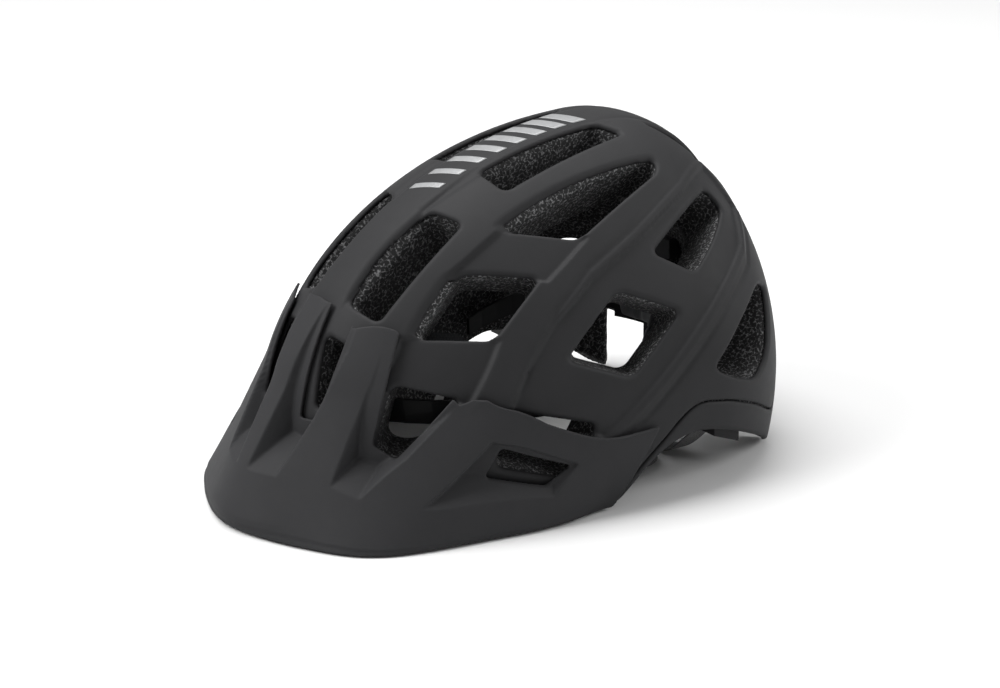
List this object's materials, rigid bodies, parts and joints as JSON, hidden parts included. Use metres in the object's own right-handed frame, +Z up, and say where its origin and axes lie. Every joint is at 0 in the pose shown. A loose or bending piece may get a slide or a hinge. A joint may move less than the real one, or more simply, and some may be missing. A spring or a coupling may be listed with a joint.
{
  "type": "cycling helmet",
  "caption": "Vented all-mountain cycling helmet with moulded foam liner, split skin, tilting fingered visor, dial-adjusted head cradle and strap buckle.",
  "frame": {"origin": "on the floor, at the middle of the bounding box's bottom face", "axes": "+Z up, the front of the helmet faces -Y, the wearer's left is +X"},
  "size_m": [0.221, 0.3265, 0.1793],
  "materials": {
    "shell_skin": "matt in-moulded polycarbonate",
    "foam": "moulded bead foam",
    "visor": "fine matt moulded plastic",
    "pad_fabric": "brushed knit over foam",
    "nylon": "satin moulded nylon",
    "hardware": "satin glass-filled nylon",
    "webbing": "woven polyester webbing",
    "dial_rubber": "soft-touch rubber"
  },
  "bodies": {
    "helmet": {"upper_shell": "shell_skin", "lower_shell": "shell_skin", "foam_liner": "foam", "pivot_socket_left": "nylon", "pivot_socket_right": "nylon", "hanger_clip": "nylon", "front_band": "nylon", "brow_pad": "pad_fabric", "crown_pad": "pad_fabric", "top_pad_left": "pad_fabric", "top_pad_right": "pad_fabric", "side_pad_left": "pad_fabric", "side_pad_right": "pad_fabric", "temple_pad_left": "pad_fabric", "temple_pad_right": "pad_fabric", "rear_anchor_left": "nylon", "rear_anchor_right": "nylon", "front_anchor_left": "nylon", "front_anchor_right": "nylon", "rear_strap_left": "webbing", "rear_strap_right": "webbing", "front_strap_left": "webbing", "front_strap_right": "webbing", "strap_divider_left": "nylon", "strap_divider_right": "nylon", "chin_strap_left": "webbing", "chin_strap_right": "webbing", "chin_pad": "pad_fabric", "buckle_socket": "nylon"},
    "visor": {"visor": "visor", "visor_pin_left": "hardware", "visor_pin_right": "hardware"},
    "cradle": {"cradle_base": "nylon", "dial_cover": "nylon", "nape_pad": "pad_fabric", "height_hanger": "nylon"},
    "dial": {"fit_dial": "dial_rubber", "dial_pinion": "nylon"},
    "belt_left": {"fit_belt_left": "nylon"},
    "belt_right": {"fit_belt_right": "nylon"},
    "plug": {"buckle_plug": "nylon", "strap_loop": "webbing"}
  },
  "joints": [
    {"name": "visor_tilt", "type": "hinge", "parent": "helmet", "child": "visor", "pos_m": [0, 0.0245, 0.033], "axis": [-1, 0, 0], "range_deg": [0, 12]},
    {"name": "cradle_height", "type": "slide", "parent": "helmet", "child": "cradle", "axis": [0, 0, -1], "range_m": [0, 0.012]},
    {"name": "dial_turn", "type": "hinge", "parent": "cradle", "child": "dial", "pos_m": [0, 0.118, 0.062], "axis": [0, -1, 0], "range_deg": [0, 270]},
    {"name": "belt_left_turn", "type": "hinge", "parent": "cradle", "child": "belt_left", "pos_m": [0, 0.048, 0.062], "axis": [0, 0, 1], "range_deg": [0, 19.3]},
    {"name": "belt_right_turn", "type": "hinge", "parent": "cradle", "child": "belt_right", "pos_m": [0, 0.048, 0.062], "axis": [0, 0, -1], "range_deg": [0, 19.3]},
    {"name": "buckle_release", "type": "slide", "parent": "helmet", "child": "plug", "axis": [1, 0, 0], "range_m": [0, 0.015]}
  ],
  "couplings": [
    {"joint": "belt_left_turn", "follows": "dial_turn", "ratio": 0.071429},
    {"joint": "belt_right_turn", "follows": "dial_turn", "ratio": 0.071429}
  ]
}
